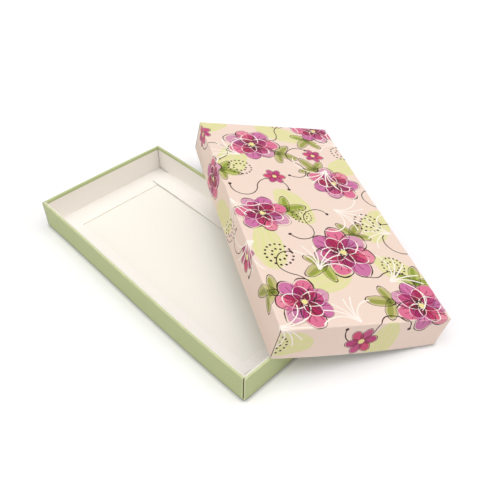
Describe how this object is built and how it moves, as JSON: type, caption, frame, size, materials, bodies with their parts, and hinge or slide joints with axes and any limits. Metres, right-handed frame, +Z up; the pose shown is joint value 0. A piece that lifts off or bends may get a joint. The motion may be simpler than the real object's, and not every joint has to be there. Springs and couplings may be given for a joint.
{
  "type": "chocolate box",
  "caption": "Shallow rectangular gift box for chocolates: an open tray of folded board with double walls, and its flower-printed lift-off lid leaning on the tray.",
  "frame": {"origin": "middle of the tray's underside, on the table", "axes": "+Z up, +X along the tray's long side, +Y across it towards the side the lid leans over"},
  "size_m": [0.2922, 0.245, 0.0512],
  "materials": {
    "green_board": "folding boxboard, printed plain spring green, matt",
    "white_board": "folding boxboard, coated white side, unprinted, matt",
    "cream_board": "folding boxboard, uncoated cream reverse side, matt",
    "floral_board": null
  },
  "bodies": {
    "tray": {"tray_back_flap": "white_board", "tray_back_inner_wall": "white_board", "tray_back_left_tab": "green_board", "tray_back_outer_wall": "green_board", "tray_back_right_tab": "green_board", "tray_back_rim": "green_board", "tray_floor": "cream_board", "tray_front_flap": "white_board", "tray_front_inner_wall": "white_board", "tray_front_left_tab": "green_board", "tray_front_outer_wall": "green_board", "tray_front_right_tab": "green_board", "tray_front_rim": "green_board", "tray_left_flap": "white_board", "tray_left_inner_wall": "white_board", "tray_left_outer_wall": "green_board", "tray_left_rim": "green_board", "tray_right_flap": "white_board", "tray_right_inner_wall": "white_board", "tray_right_outer_wall": "green_board", "tray_right_rim": "green_board"},
    "lid": {"lid_back_flap": "white_board", "lid_back_inner_skirt": "white_board", "lid_back_left_tab": "floral_board", "lid_back_outer_skirt": "floral_board", "lid_back_right_tab": "floral_board", "lid_back_rim": "floral_board", "lid_front_flap": "white_board", "lid_front_inner_skirt": "white_board", "lid_front_left_tab": "floral_board", "lid_front_outer_skirt": "floral_board", "lid_front_right_tab": "floral_board", "lid_front_rim": "floral_board", "lid_left_flap": "white_board", "lid_left_inner_skirt": "white_board", "lid_left_outer_skirt": "floral_board", "lid_left_rim": "floral_board", "lid_right_flap": "white_board", "lid_right_inner_skirt": "white_board", "lid_right_outer_skirt": "floral_board", "lid_right_rim": "floral_board", "lid_top": "floral_board"}
  },
  "joints": [
    {"name": "lid_lift", "type": "slide", "parent": "tray", "child": "lid", "axis": [0, 0, 1], "range_m": [0, 0.08]}
  ]
}
